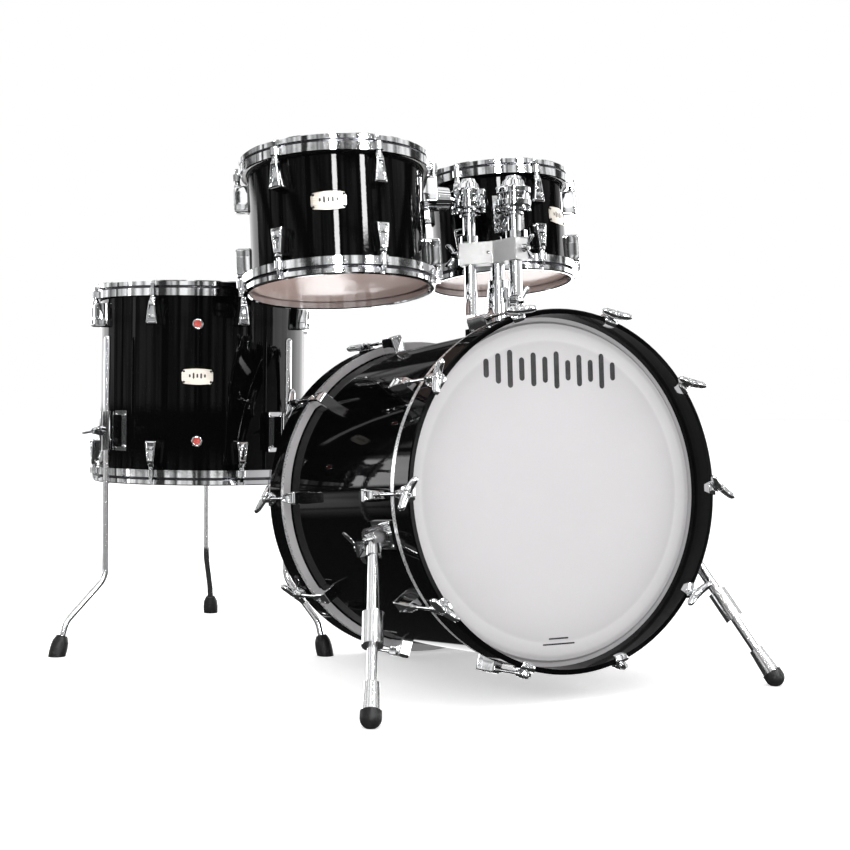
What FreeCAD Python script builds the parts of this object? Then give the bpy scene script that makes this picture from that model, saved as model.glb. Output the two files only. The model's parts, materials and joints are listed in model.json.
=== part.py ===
import FreeCAD
import Part

import math
import os

from FreeCAD import Placement, Rotation, Vector

# Acoustic drum kit: bass drum on two spurs, two rack toms on a three-hole
# holder, and a floor tom on three legs.  Millimetres, +Z up, the audience
# stands on the -Y side and "left" and "right" are theirs.

INCH = 25.4

# ---- driving dimensions ---------------------------------------------------

BASS_DIAMETER = 22 * INCH
BASS_DEPTH = 18 * INCH
BASS_LUG_COUNT = 10
BASS_TILT = 4.4                      # degrees, front hoop lifted by the spurs
BASS_HOOP_THICKNESS = 8.5
BASS_HOOP_DEPTH = 50.0
BASS_HOOP_GAP = 8.5                  # hoop's inner face to the shell's outer face
BASS_ROD_OFFSET = 24.5               # tension rod's axis above the shell
BASS_LUG_INSET = 40.0                # lug's near end to the shell's edge
BASS_LUG_LENGTH = 52.0
SHELL_UNDERSIZE = 3.8                # a shell is made this much smaller than its head
SHELL_WALL = 6.5

TOM_LUG_COUNT = 6
FLOOR_LUG_COUNT = 8
TOM_ROD_OFFSET = 17.0
TOM_LUG_INSET = 24.0
TOM_LUG_LENGTH = 46.0
ROD_RADIUS = 3.0
LUG_NECK_RADIUS = 5.0

FLOOR_DIAMETER = 16 * INCH
FLOOR_DEPTH = 14 * INCH
FLOOR_CENTRE = Vector(-324.0, 560.0, 506.0)
FLOOR_LEG_ANGLES = {"left": 202.5, "right": 292.5, "rear": 67.5}
FLOOR_LEG_OFFSET = 38.0              # leg's axis outside the shell
FLOOR_LEG_TURNS = {"left": -10.5, "right": 4.5, "rear": -4.0}   # legs turned in their brackets
FLOOR_FOOT_OFFSET = 98.0             # foot's distance from the leg's straight part
FLOOR_LEG_TOP = 594.0
FLOOR_BRACKET_LEVEL = 415.0          # wing bolt's height
FOOT_SPLAY = 0.3                     # outward run of the leg's end for each unit of rise
LEG_RADIUS = 6.0

POST_Y = -71.0                       # post's axis along the bass drum's length
POST_RADIUS = 12.5
ARM_RADIUS = 11.0
BALL_RADIUS = 15.0
TOM_ROD_RADIUS = 5.0
CLAMP_LEVEL = 418.0                  # clamp's middle above the bass drum's axis
CLAMP_HEIGHT = 38.0
CLAMP_WIDTH = 32.0

SPUR_SIDES = {"left": -1, "right": 1}
SPUR_ANGLE = 13.0                    # degrees below the drum's side
SPUR_Y = -160.0
SPUR_FOOT = Vector(383.0, -334.0, 0.0)
SPUR_HEAD_GAP = 26.0                 # pivot head's middle above the shell
SPUR_HEAD = 13.0                     # half the pivot head's thickness
SPUR_BOLT_RISE = 11.0                # wing bolt's axis outside the head's middle
SPUR_BOLT_DROP = 14.0                # wing bolt's axis below the head's middle
SPUR_TUBE_RADIUS = 9.8
SPUR_LEG_RADIUS = 8.3
SPUR_TIP_RADIUS = 16.5
SPUR_TIP_HEIGHT = 14.5               # middle of the rubber tip's ball above the floor

RUN_FIT = 0.05                       # radial clearance of a shaft that turns or slides
FACE_GAP = 0.3                       # clearance between the faces of two bodies
FILM = 0.5                           # drumhead film

KIT_CENTRE = Vector(-128.4, 266.8, 0.0)   # middle of the kit's footprint

UP = Vector(0, 0, 1)

# Each rack tom: size, middle, top's lean, and the place of its bracket.
RACK_TOMS = {
    "left": {
        "diameter": 12 * INCH, "depth": 8 * INCH, "centre": Vector(-273, 38, 773),
        "lean": Vector(0.0, 0.128, 1.0), "bracket_angle": 349.0, "bracket_height": 53.0,
        "ball_reach": 240.0, "arm_tail": 205.0,
    },
    "right": {
        "diameter": 10 * INCH, "depth": 7 * INCH, "centre": Vector(100, 125, 799),
        "lean": Vector(-0.015, 0.13, 1.0), "bracket_angle": 246.0, "bracket_height": 8.0,
        "ball_reach": 220.0, "arm_tail": 172.0,
    },
}


# ---- small helpers --------------------------------------------------------

def shell_radius(diameter):
    return (diameter - SHELL_UNDERSIZE) / 2


def direction(angle):
    return Vector(math.cos(math.radians(angle)), math.sin(math.radians(angle)), 0)


def revolved(outline):
    """Solid of revolution about Z from (radius, height) corners."""
    points = [Vector(r, 0, z) for r, z in outline]
    face = Part.Face(Part.makePolygon(points + points[:1]))
    return face.revolve(Vector(0, 0, 0), UP, 360)


def cylinder(radius, start, end):
    return Part.makeCylinder(radius, (end - start).Length, start, end - start)


def tube(inner, outer, start, end):
    return cylinder(outer, start, end).cut(cylinder(inner, start, end))


def centred_box(x_range, width, z_range):
    """Box symmetric about the XZ plane."""
    length = x_range[1] - x_range[0]
    height = z_range[1] - z_range[0]
    return Part.makeBox(length, width, height, Vector(x_range[0], -width / 2, z_range[0]))


def at_angle(shape, angle):
    return shape.transformed(Placement(Vector(), Rotation(UP, angle)).toMatrix())


def around(shape, angles):
    return Part.makeCompound([at_angle(shape, angle) for angle in angles])


def flipped(shape):
    """Copy turned end for end about the X axis, for a drum's other side."""
    return shape.transformed(Placement(Vector(), Rotation(Vector(1, 0, 0), 180)).toMatrix())


def placed(shape, placement):
    return shape.transformed(placement.toMatrix())


def fused(first, *others):
    return first.fuse(list(others)).removeSplitter()


def even_angles(count, first):
    return [first + 360.0 * i / count for i in range(count)]


def lean_placement(centre, axis):
    return Placement(centre, Rotation(UP, axis))


def aimed(base, axis, towards):
    """Placement whose Z is the axis and whose X points as far as it can towards a vector."""
    z = Vector(axis).normalize()
    x = (towards - z * towards.dot(z)).normalize()
    y = z.cross(x)
    return Placement(base, Rotation(x, y, z, "ZXY"))


# ---- parts that all drums share -------------------------------------------

def drum_shell(radius, depth):
    """Open cylinder with a bearing edge at each end."""
    half = depth / 2
    inner = radius - SHELL_WALL
    peak = radius - 2.5
    return revolved([
        (inner, -half + 4), (peak, -half), (radius, -half + 2.5),
        (radius, half - 2.5), (peak, half), (inner, half - 4),
    ])


def drumhead(radius, half, hoop_inner, hoop_outer, hoop_top, hoop_height):
    """Film stretched over the bearing edge, with its collar and flesh hoop."""
    peak = radius - 2.5
    top = half - hoop_top
    bottom = top - hoop_height
    return revolved([
        (0, half), (peak, half), (radius + 0.2, half - 2.7), (radius + 0.2, top - 1),
        (hoop_inner, bottom), (hoop_outer, bottom), (hoop_outer, top), (radius + 0.9, top),
        (radius + 0.9, half - 2.4), (peak + 0.3, half + FILM), (0, half + FILM),
    ])


def lug(radius, depth, rod_offset, inset, length, near_width, far_width):
    """Tapered casting on the shell, narrow towards the hoop, with a threaded blind hole."""
    near = depth / 2 - inset
    far = near - length
    outer = radius + rod_offset + 6.5
    rings = []
    for r, shrink in ((radius - 4, 0.0), (outer - 4, 0.0), (outer, 2.5)):
        rings.append(Part.makePolygon([
            Vector(r, -near_width / 2 + shrink, near - shrink),
            Vector(r, near_width / 2 - shrink, near - shrink),
            Vector(r, far_width / 2 - shrink, far + shrink),
            Vector(r, -far_width / 2 + shrink, far + shrink),
            Vector(r, -near_width / 2 + shrink, near - shrink),
        ]))
    body = Part.makeLoft(rings[:2], True, True).fuse(Part.makeLoft(rings[1:], True, True))
    seat = Part.makeCylinder(radius, length + 10, Vector(0, 0, far - 5))
    axis = Vector(radius + rod_offset, 0, near)
    neck = cylinder(LUG_NECK_RADIUS, axis - UP * 6, axis + UP * 7)
    hole = cylinder(ROD_RADIUS, axis + UP * 8, axis - UP * 20)
    pocket = centred_box((outer - 2, outer + 1), far_width - 11, (far + 8, far + 0.55 * length))
    return fused(body.cut(seat), neck).cut(hole).cut(pocket)


def key_rod(axis_radius, lug_near, seat):
    """Threaded rod from inside the lug to a washer and a square head on its seat."""
    foot = Vector(axis_radius, 0, lug_near - 20)
    shoulder = Vector(axis_radius, 0, seat)
    shaft = cylinder(ROD_RADIUS, foot, shoulder)
    washer = cylinder(5.2, shoulder, shoulder + UP * 2)
    head = Part.makeBox(6.4, 6.4, 8, shoulder + Vector(-3.2, -3.2, 2))
    return fused(shaft, washer, head)


# ---- rack toms and floor tom ----------------------------------------------

def cast_hoop(radius, half, lug_angles):
    """Die-cast hoop with a skirt, a groove and a lip, and one ear for each rod."""
    ring = revolved([
        (radius + 8.8, half - 15), (radius + 14, half - 15), (radius + 14, half - 1.5),
        (radius + 8.5, half - 1.5), (radius + 8.5, half + 3), (radius + 12, half + 4),
        (radius + 12, half + 11.5), (radius + 9.5, half + 13.5), (radius + 5, half + 13.5),
        (radius + 3.2, half + 11.5), (radius + 3.2, half - 3), (radius + 8.8, half - 3),
    ])
    axis = Vector(radius + TOM_ROD_OFFSET, 0, 0)
    ear = cylinder(8, axis + UP * (half - 15), axis + UP * (half - 3))
    root = centred_box((radius + 11, radius + TOM_ROD_OFFSET), 16, (half - 15, half - 3))
    hole = cylinder(ROD_RADIUS + 0.5, axis + UP * (half - 20), axis + UP * (half + 20))
    clear = cylinder(7.2, axis + UP * (half - 3), axis + UP * (half + 20))
    ears = around(ear.fuse(root), lug_angles)
    return ring.fuse(ears.Solids).cut(around(clear, lug_angles)).cut(around(hole, lug_angles))


def cast_drum(name, diameter, depth, lug_count, placement):
    """Every piece that a rack tom and the floor tom have in common."""
    radius = shell_radius(diameter)
    half = depth / 2
    angles = even_angles(lug_count, 90.0)
    head = drumhead(radius, half, radius + 1.5, radius + 8.4, 3, 9)
    hoop = cast_hoop(radius, half, angles)
    one_lug = lug(radius, depth, TOM_ROD_OFFSET, TOM_LUG_INSET, TOM_LUG_LENGTH, 12, 22)
    one_rod = key_rod(radius + TOM_ROD_OFFSET, half - TOM_LUG_INSET, half - 3)
    lugs = around(one_lug, angles)
    rods = around(one_rod, angles)
    local = {
        name + "_shell": drum_shell(radius, depth),
        name + "_hoops": Part.makeCompound([hoop, flipped(hoop)]),
        name + "_batter_head": head,
        name + "_resonant_head": flipped(head),
        name + "_lugs": Part.makeCompound(lugs.Solids + flipped(lugs).Solids),
        name + "_tension_rods": Part.makeCompound(rods.Solids + flipped(rods).Solids),
    }
    return {node: placed(shape, placement) for node, shape in local.items()}


def tom_bracket(radius, angle, height):
    """Plate on the shell with a bored barrel that slides along the tom's rod."""
    plate = centred_box((radius - 8, radius + 7), 50, (height - 42, height + 26))
    foot = Vector(radius - 8, 0, height)
    barrel = Part.makeCone(24, 20, 58, foot, Vector(1, 0, 0))
    bore_start = Vector(radius + 4, 0, height)
    bore = cylinder(TOM_ROD_RADIUS + RUN_FIT, bore_start, bore_start + Vector(50, 0, 0))
    seat = Part.makeCylinder(radius, 140, Vector(0, 0, height - 70))
    return at_angle(fused(plate, barrel).cut(seat).cut(bore), angle)


def rack_tom(side):
    spec = RACK_TOMS[side]
    name = "tom_" + side
    placement = lean_placement(spec["centre"], spec["lean"])
    nodes = cast_drum(name, spec["diameter"], spec["depth"], TOM_LUG_COUNT, placement)
    radius = shell_radius(spec["diameter"])
    bracket = tom_bracket(radius, spec["bracket_angle"], spec["bracket_height"])
    nodes[name + "_bracket"] = placed(bracket, placement)
    return nodes


# ---- wing bolts -----------------------------------------------------------

def wing_bolt(tip, axis, towards, shank_length, shank_radius, wing_span, wing_height):
    """Bolt with two flat wings; the tip is the shank's inner end, the wings stand outside."""
    shank = Part.makeCylinder(shank_radius, shank_length + 1)
    hub = Part.makeCylinder(shank_radius + 3.5, 12, Vector(0, 0, shank_length))
    half = wing_span / 2
    foot = shank_length + 3
    outline = [
        Vector(-7, -2.5, foot), Vector(7, -2.5, foot), Vector(half, -2.5, foot + 0.35 * wing_height),
        Vector(half - 3, -2.5, foot + wing_height), Vector(half - 9, -2.5, foot + wing_height - 2),
        Vector(5, -2.5, foot + 9), Vector(-5, -2.5, foot + 9),
        Vector(-half + 9, -2.5, foot + wing_height - 2), Vector(-half + 3, -2.5, foot + wing_height),
        Vector(-half, -2.5, foot + 0.35 * wing_height),
    ]
    wings = Part.Face(Part.makePolygon(outline + outline[:1])).extrude(Vector(0, 5, 0))
    return placed(fused(shank, hub, wings), aimed(tip, axis, towards))


# ---- floor tom ------------------------------------------------------------

def floor_leg_frame(side, turn=0.0):
    """Placement at the foot of a leg's straight part, X pointing away from the drum."""
    angle = FLOOR_LEG_ANGLES[side]
    reach = shell_radius(FLOOR_DIAMETER) + FLOOR_LEG_OFFSET
    base = Vector(FLOOR_CENTRE.x, FLOOR_CENTRE.y, 0) + direction(angle) * reach
    return Placement(base, Rotation(UP, angle + turn))


def floor_leg_rod():
    """Round rod: straight at the top, an S-bend outwards, and a short straight foot."""
    bend = 40.0
    knee = Vector(FLOOR_FOOT_OFFSET - FOOT_SPLAY * 62, 0, 62)
    corners = [
        Vector(0, 0, FLOOR_LEG_TOP - LEG_RADIUS), Vector(0, 0, 138),
        knee, Vector(FLOOR_FOOT_OFFSET - FOOT_SPLAY * 12, 0, 12),
    ]
    edges = []
    start = corners[0]
    for before, corner, after in zip(corners, corners[1:], corners[2:]):
        inward = (before - corner).normalize()
        outward = (after - corner).normalize()
        half_turn = (math.pi - inward.getAngle(outward)) / 2
        cut_back = bend * math.tan(half_turn)
        arc_start = corner + inward * cut_back
        arc_end = corner + outward * cut_back
        bisector = (inward + outward).normalize()
        arc_middle = corner + bisector * (bend / math.cos(half_turn) - bend)
        edges.append(Part.LineSegment(start, arc_start).toShape())
        edges.append(Part.Arc(arc_start, arc_middle, arc_end).toShape())
        start = arc_end
    edges.append(Part.LineSegment(start, corners[-1]).toShape())
    circle = Part.Wire(Part.makeCircle(LEG_RADIUS, corners[0], Vector(0, 0, -1)))
    rod = Part.Wire(edges).makePipeShell([circle], True, False)
    tip = Part.makeSphere(LEG_RADIUS, corners[0])
    return fused(rod, tip)


def floor_leg_foot():
    """Barrel-shaped rubber tip in line with the rod's end, worn flat where it stands."""
    outline = [
        (0, -12), (14, -12), (15.5, 4), (15.8, 16), (14.5, 28), (10.5, 37), (8.5, 39),
        (LEG_RADIUS, 39), (LEG_RADIUS, 12), (0, 12),
    ]
    splay = Vector(-FOOT_SPLAY, 0, 1).normalize()
    place = aimed(Vector(FLOOR_FOOT_OFFSET, 0, 0), splay, Vector(1, 0, 0))
    floor = Part.makeBox(100, 100, 50, Vector(FLOOR_FOOT_OFFSET - 50, -50, -50))
    tip = Vector(FLOOR_FOOT_OFFSET - FOOT_SPLAY * 12, 0, 12)
    socket = cylinder(LEG_RADIUS, tip, place.multVec(UP * 60))
    return placed(revolved(outline), place).cut(floor).cut(socket)


def floor_leg_bracket():
    """Cast bracket on the shell with an upright bore and a threaded hole for its wing bolt."""
    shell_face = -FLOOR_LEG_OFFSET
    level = FLOOR_BRACKET_LEVEL
    web = centred_box((shell_face - 6, 0), 20, (level - 30, level + 30))
    barrel = Part.makeCylinder(12.5, 72, Vector(0, 0, level - 36))
    boss = Part.makeCylinder(9, 18, Vector(0, 0, level), Vector(1, 0, 0))
    plate = centred_box((shell_face - 6, shell_face + 5), 34, (level - 38, level + 38))
    bore = Part.makeCylinder(LEG_RADIUS + RUN_FIT, 200, Vector(0, 0, level - 100))
    bolt_hole = Part.makeCylinder(4 + RUN_FIT, 40, Vector(0, 0, level), Vector(1, 0, 0))
    shell = Part.makeCylinder(
        shell_radius(FLOOR_DIAMETER), 200,
        Vector(shell_face - shell_radius(FLOOR_DIAMETER), 0, level - 100))
    return fused(web, barrel, boss, plate).cut(bore).cut(bolt_hole).cut(shell)


def floor_tom():
    nodes = cast_drum(
        "floor_tom", FLOOR_DIAMETER, FLOOR_DEPTH, FLOOR_LUG_COUNT,
        Placement(FLOOR_CENTRE, Rotation()))
    heads = [nodes.pop("floor_tom_batter_head"), nodes.pop("floor_tom_resonant_head")]
    nodes["floor_tom_heads"] = Part.makeCompound(heads)
    brackets = []
    for side in FLOOR_LEG_ANGLES:
        frame = floor_leg_frame(side)
        turned = floor_leg_frame(side, FLOOR_LEG_TURNS[side])
        bolt_tip = Vector(LEG_RADIUS + FACE_GAP, 0, FLOOR_BRACKET_LEVEL)
        bolt = wing_bolt(bolt_tip, Vector(1, 0, 0), Vector(0, 1, 0.2), 14, 4, 50, 18)
        brackets.append(placed(floor_leg_bracket(), frame))
        nodes["floor_leg_" + side + "_rod"] = placed(floor_leg_rod(), turned)
        nodes["floor_leg_" + side + "_foot"] = placed(floor_leg_foot(), turned)
        nodes["floor_leg_" + side + "_wing_bolt"] = placed(bolt, frame)
    nodes["floor_tom_leg_brackets"] = Part.makeCompound(brackets)
    return nodes


# ---- bass drum ------------------------------------------------------------
# The bass drum is built upright about Z with its front end up, in a frame
# whose Y becomes the kit's up direction, then laid down and tilted.

BASS_RADIUS = shell_radius(BASS_DIAMETER)
BASS_HALF = BASS_DEPTH / 2
HOOP_INNER = BASS_RADIUS + BASS_HOOP_GAP
HOOP_OUTER = HOOP_INNER + BASS_HOOP_THICKNESS
HOOP_FOOT = BASS_HALF - 3.6
HOOP_FRONT = HOOP_FOOT + BASS_HOOP_DEPTH
HOOP_CHAMFER = 2.0


def bass_placement():
    """Drum axis along Y with its front lifted; the rear hoop's lower edge meets the floor."""
    tilt = math.radians(BASS_TILT)
    height = HOOP_OUTER * math.cos(tilt) + (HOOP_FRONT - HOOP_CHAMFER) * math.sin(tilt)
    return Placement(Vector(0, 0, height), Rotation(Vector(1, 0, 0), 90 - BASS_TILT))


def bass_point(x, along, up):
    """A point given across, along (towards the back) and above the drum's axis."""
    return bass_placement().multVec(Vector(x, up, -along))


def bass_direction(x, along, up):
    return bass_placement().Rotation.multVec(Vector(x, up, -along))


POST_AXIS = bass_direction(0, 0, 1)


def bass_hoop():
    c = HOOP_CHAMFER
    return revolved([
        (HOOP_INNER, HOOP_FOOT), (HOOP_OUTER - c, HOOP_FOOT), (HOOP_OUTER, HOOP_FOOT + c),
        (HOOP_OUTER, HOOP_FRONT - c), (HOOP_OUTER - c, HOOP_FRONT), (HOOP_INNER, HOOP_FRONT),
    ])


CLAW_WIDTH = 28.0
CLAW_LEG = 2.5
EYE_FRONT = HOOP_FRONT + 1.0          # front face of the claw's eye, where the rod's head seats


# How far each T-handle is turned from square to its radius, by its place round the drum.
HANDLE_TURNS = {0.0: 50, 36.0: 42, 72.0: 8, 108.0: -12, 144.0: 24, 180.0: -30, 216.0: 18, 324.0: -18}


def bass_claw():
    """Hook over the hoop's edge with a round eye outside it for the tension rod."""
    web = 3.5
    lip = HOOP_INNER - 3.0
    outline = [
        (lip, HOOP_FRONT - 11), (HOOP_INNER, HOOP_FRONT - 11),
        (HOOP_INNER, HOOP_FRONT), (HOOP_OUTER - HOOP_CHAMFER, HOOP_FRONT),
        (HOOP_OUTER, HOOP_FRONT - HOOP_CHAMFER), (HOOP_OUTER, HOOP_FRONT - 36),
        (HOOP_OUTER + CLAW_LEG, HOOP_FRONT - 36), (HOOP_OUTER + CLAW_LEG, HOOP_FRONT - 1),
        (HOOP_OUTER - 1, HOOP_FRONT + web), (lip + 1, HOOP_FRONT + web), (lip, HOOP_FRONT + web - 1),
    ]
    points = [Vector(r, -CLAW_WIDTH / 2, z) for r, z in outline]
    hook = Part.Face(Part.makePolygon(points + points[:1])).extrude(Vector(0, CLAW_WIDTH, 0))
    axis = Vector(BASS_RADIUS + BASS_ROD_OFFSET, 0, 0)
    eye = Part.makeCone(4.5, 6.5, 10, axis + UP * (EYE_FRONT - 26))
    eye = eye.fuse(cylinder(6.5, axis + UP * (EYE_FRONT - 16), axis + UP * EYE_FRONT))
    hole = cylinder(ROD_RADIUS + 0.4, axis + UP * (HOOP_FRONT - 60), axis + UP * (HOOP_FRONT + 20))
    inside = Part.makeCylinder(HOOP_OUTER, BASS_HOOP_DEPTH, Vector(0, 0, HOOP_FOOT))
    return fused(hook.cut(bass_hoop()), eye.cut(inside)).cut(hole)


def t_rod(turn):
    """Tension rod with a winged cross handle in front of its claw's eye."""
    axis = Vector(BASS_RADIUS + BASS_ROD_OFFSET, 0, 0)
    seat = axis + UP * EYE_FRONT
    shaft = cylinder(ROD_RADIUS, axis + UP * (BASS_HALF - BASS_LUG_INSET - 20), seat)
    collar = cylinder(5.5, seat, seat + UP * 4)
    half_outline = [(6, 3), (25, 6), (26, 10), (22, 14), (7, 10)]
    outline = half_outline + [(-across, up) for across, up in reversed(half_outline)]
    points = [seat + Vector(-3.2, across, up) for across, up in outline]
    handle = Part.Face(Part.makePolygon(points + points[:1])).extrude(Vector(6.4, 0, 0))
    handle.rotate(seat, UP, turn)
    return fused(shaft, collar, handle)


def bass_drum():
    front_angles = even_angles(BASS_LUG_COUNT, 0.0)
    low_angles = [252.0, 288.0]
    head = drumhead(BASS_RADIUS, BASS_HALF, BASS_RADIUS + 2, HOOP_OUTER - 1.5, 3.6, 12)
    hoop = bass_hoop()
    one_lug = lug(BASS_RADIUS, BASS_DEPTH, BASS_ROD_OFFSET, BASS_LUG_INSET, BASS_LUG_LENGTH, 13, 22)
    short_rod = key_rod(BASS_RADIUS + BASS_ROD_OFFSET, BASS_HALF - BASS_LUG_INSET, EYE_FRONT)
    lugs = around(one_lug, front_angles)
    claws = around(bass_claw(), front_angles)
    handled = [at_angle(t_rod(turn), angle) for angle, turn in HANDLE_TURNS.items()]
    rods = Part.makeCompound(handled + around(short_rod, low_angles).Solids)
    post_hole = Part.makeCylinder(
        POST_RADIUS + 2.5, 60, Vector(0, BASS_RADIUS - 40, -POST_Y), Vector(0, 1, 0))
    local = {
        "bass_shell": drum_shell(BASS_RADIUS, BASS_DEPTH).cut(post_hole),
        "bass_hoops": Part.makeCompound([hoop, mirrored(hoop)]),
        "bass_front_head": head,
        "bass_batter_head": mirrored(head),
        "bass_lugs": Part.makeCompound(lugs.Solids + mirrored(lugs).Solids),
        "bass_claws": Part.makeCompound(claws.Solids + mirrored(claws).Solids),
        "bass_tension_rods": Part.makeCompound(rods.Solids + mirrored(rods).Solids),
    }
    return {node: placed(shape, bass_placement()) for node, shape in local.items()}


def mirrored(shape):
    """Copy for the drum's other end, with the same parts at the same angles."""
    return shape.mirror(Vector(0, 0, 0), UP)


# ---- holder on the bass drum ----------------------------------------------

MOUNT_TOP = BASS_RADIUS + 78.0
MOUNT_BOLT_LEVEL = BASS_RADIUS + 56.0
MOUNT_BOLT_AXIS = direction(-30)


def tom_mount():
    """Base plate on the shell with a tapered receiver for the post."""
    place = aimed(bass_point(0, POST_Y, 0), POST_AXIS, bass_direction(1, 0, 0))
    base = Part.makeBox(84, 92, 24, Vector(-42, -46, BASS_RADIUS - 14))
    taper = Part.makeCone(27, 19, MOUNT_TOP - BASS_RADIUS + 8, Vector(0, 0, BASS_RADIUS - 8))
    boss = Part.makeCylinder(9, 30, Vector(0, 0, MOUNT_BOLT_LEVEL), MOUNT_BOLT_AXIS)
    bore = Part.makeCylinder(POST_RADIUS + RUN_FIT, 200, Vector(0, 0, BASS_RADIUS - 60))
    bolt_hole = Part.makeCylinder(
        4 + RUN_FIT, 50, Vector(0, 0, MOUNT_BOLT_LEVEL), MOUNT_BOLT_AXIS)
    shell = Part.makeCylinder(BASS_RADIUS, 200, Vector(0, -100, 0), Vector(0, 1, 0))
    solid = fused(base, taper, boss).cut(shell).cut(bore).cut(bolt_hole)
    tip = MOUNT_BOLT_AXIS * (POST_RADIUS + FACE_GAP) + UP * MOUNT_BOLT_LEVEL
    bolt = wing_bolt(tip, MOUNT_BOLT_AXIS, UP, 19, 4, 50, 20)
    return {
        "bass_tom_mount": placed(solid, place),
        "holder_mount_wing_bolt": placed(bolt, place),
    }


def tom_placement(side):
    spec = RACK_TOMS[side]
    return lean_placement(spec["centre"], spec["lean"])


def ball_centre(side):
    spec = RACK_TOMS[side]
    local = direction(spec["bracket_angle"]) * spec["ball_reach"] + UP * spec["bracket_height"]
    return tom_placement(side).multVec(local)


def rod_direction(side):
    """From the ball towards the tom."""
    return tom_placement(side).Rotation.multVec(direction(RACK_TOMS[side]["bracket_angle"])) * -1


def clamp_centre():
    return bass_point(0, POST_Y, CLAMP_LEVEL)


def arm_foot(side):
    """Point of the arm's axis level with the clamp's middle."""
    ball = ball_centre(side)
    return ball - POST_AXIS * (ball - clamp_centre()).dot(POST_AXIS)


def arm_heading(side):
    return (arm_foot(side) - clamp_centre()).normalize()


def memory_lock(base, axis, towards, bore, outer, height):
    """Split ring with a lug on one side, clamped round a tube."""
    ring = Part.makeCylinder(outer, height)
    ear = centred_box((0, outer + 8), 9, (0, height))
    hole = Part.makeCylinder(bore + RUN_FIT, height)
    return placed(fused(ring, ear).cut(hole), aimed(base, axis, towards))


def holder():
    centre = clamp_centre()
    half = CLAMP_HEIGHT / 2
    post_foot = bass_point(0, POST_Y, BASS_RADIUS - 60)
    post_top = centre + POST_AXIS * (half + 2)
    post = tube(POST_RADIUS - 2, POST_RADIUS, post_foot, post_top)
    lock_base = bass_point(0, POST_Y, MOUNT_TOP + FACE_GAP)
    block = None
    nodes = {}
    for side in RACK_TOMS:
        heading = arm_heading(side)
        reach = (arm_foot(side) - centre).Length
        frame = aimed(centre, POST_AXIS, heading)
        arm = placed(centred_box((-CLAMP_WIDTH / 2, reach + 17), CLAMP_WIDTH, (-half, half)), frame)
        block = arm if block is None else block.fuse(arm)
        tip = arm_foot(side) + heading * (ARM_RADIUS + FACE_GAP)
        bolt = wing_bolt(tip, heading, bass_direction(0, 0.35, 1), 9, 4, 44, 22)
        nodes["holder_clamp_wing_" + side] = bolt
    for side in RACK_TOMS:
        foot = arm_foot(side)
        heading = arm_heading(side)
        bore = cylinder(ARM_RADIUS + RUN_FIT, foot - POST_AXIS * 40, foot + POST_AXIS * 40)
        bolt_hole = cylinder(4 + RUN_FIT, foot, foot + heading * 40)
        block = block.cut(bore).cut(bolt_hole)
    block = block.cut(cylinder(POST_RADIUS, centre - POST_AXIS * 40, centre + POST_AXIS * 40))
    nodes["holder_clamp"] = block.removeSplitter()
    nodes["holder_post"] = post
    nodes["holder_post_lock"] = memory_lock(
        lock_base, POST_AXIS, bass_direction(1, -0.3, 0), POST_RADIUS, 18, 13)
    return nodes


def arm_tube(side):
    """Upright tube with a round housing for the ball, slotted on the tom's side."""
    tail = -RACK_TOMS[side]["arm_tail"]
    outline = [
        (0, tail), (ARM_RADIUS, tail), (ARM_RADIUS, -31), (16, -31), (16, -27), (22, -25),
        (22, -21), (28, -19), (30, -16), (30, -8), (27, -6), (27, 4), (30, 6), (30, 13),
        (27, 16), (21, 19), (19, 27), (14, 31), (12, 36), (0, 37),
    ]
    body = revolved(outline)
    cavity = Part.makeSphere(BALL_RADIUS + FACE_GAP)
    width = 2 * (TOM_ROD_RADIUS + 1.2)
    slot = centred_box((0, 40), width, (-13, 13))
    place = aimed(ball_centre(side), POST_AXIS, rod_direction(side))
    return placed(body.cut(cavity.fuse(slot)), place)


def tom_arm(side):
    """Upright tube with its ball housing, the ball, and the rod that carries the tom."""
    spec = RACK_TOMS[side]
    ball = ball_centre(side)
    towards = rod_direction(side)
    rod_length = spec["ball_reach"] - shell_radius(spec["diameter"]) - 8
    rod = cylinder(TOM_ROD_RADIUS, ball - towards * 12, ball + towards * rod_length)
    bore = cylinder(TOM_ROD_RADIUS + RUN_FIT, ball - towards * 30, ball + towards * 30)
    lock_base = arm_foot(side) + POST_AXIS * (CLAMP_HEIGHT / 2 + FACE_GAP)
    name = "arm_" + side
    return {
        name + "_tube": arm_tube(side),
        name + "_ball": Part.makeSphere(BALL_RADIUS, ball, towards).cut(bore),
        name + "_rod": rod,
        name + "_lock": memory_lock(
            lock_base, POST_AXIS, arm_heading(side) + direction(-60), ARM_RADIUS, 16, 12),
    }


# ---- bass drum spurs ------------------------------------------------------

def spur_pivot(side):
    """Middle of the spur's pivot head, and the outward direction of its pivot."""
    sign = SPUR_SIDES[side]
    angle = math.radians(SPUR_ANGLE)
    across = sign * math.cos(angle)
    drop = -math.sin(angle)
    reach = BASS_RADIUS + SPUR_HEAD_GAP
    return bass_point(across * reach, SPUR_Y, drop * reach), bass_direction(across, 0, drop)


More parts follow.
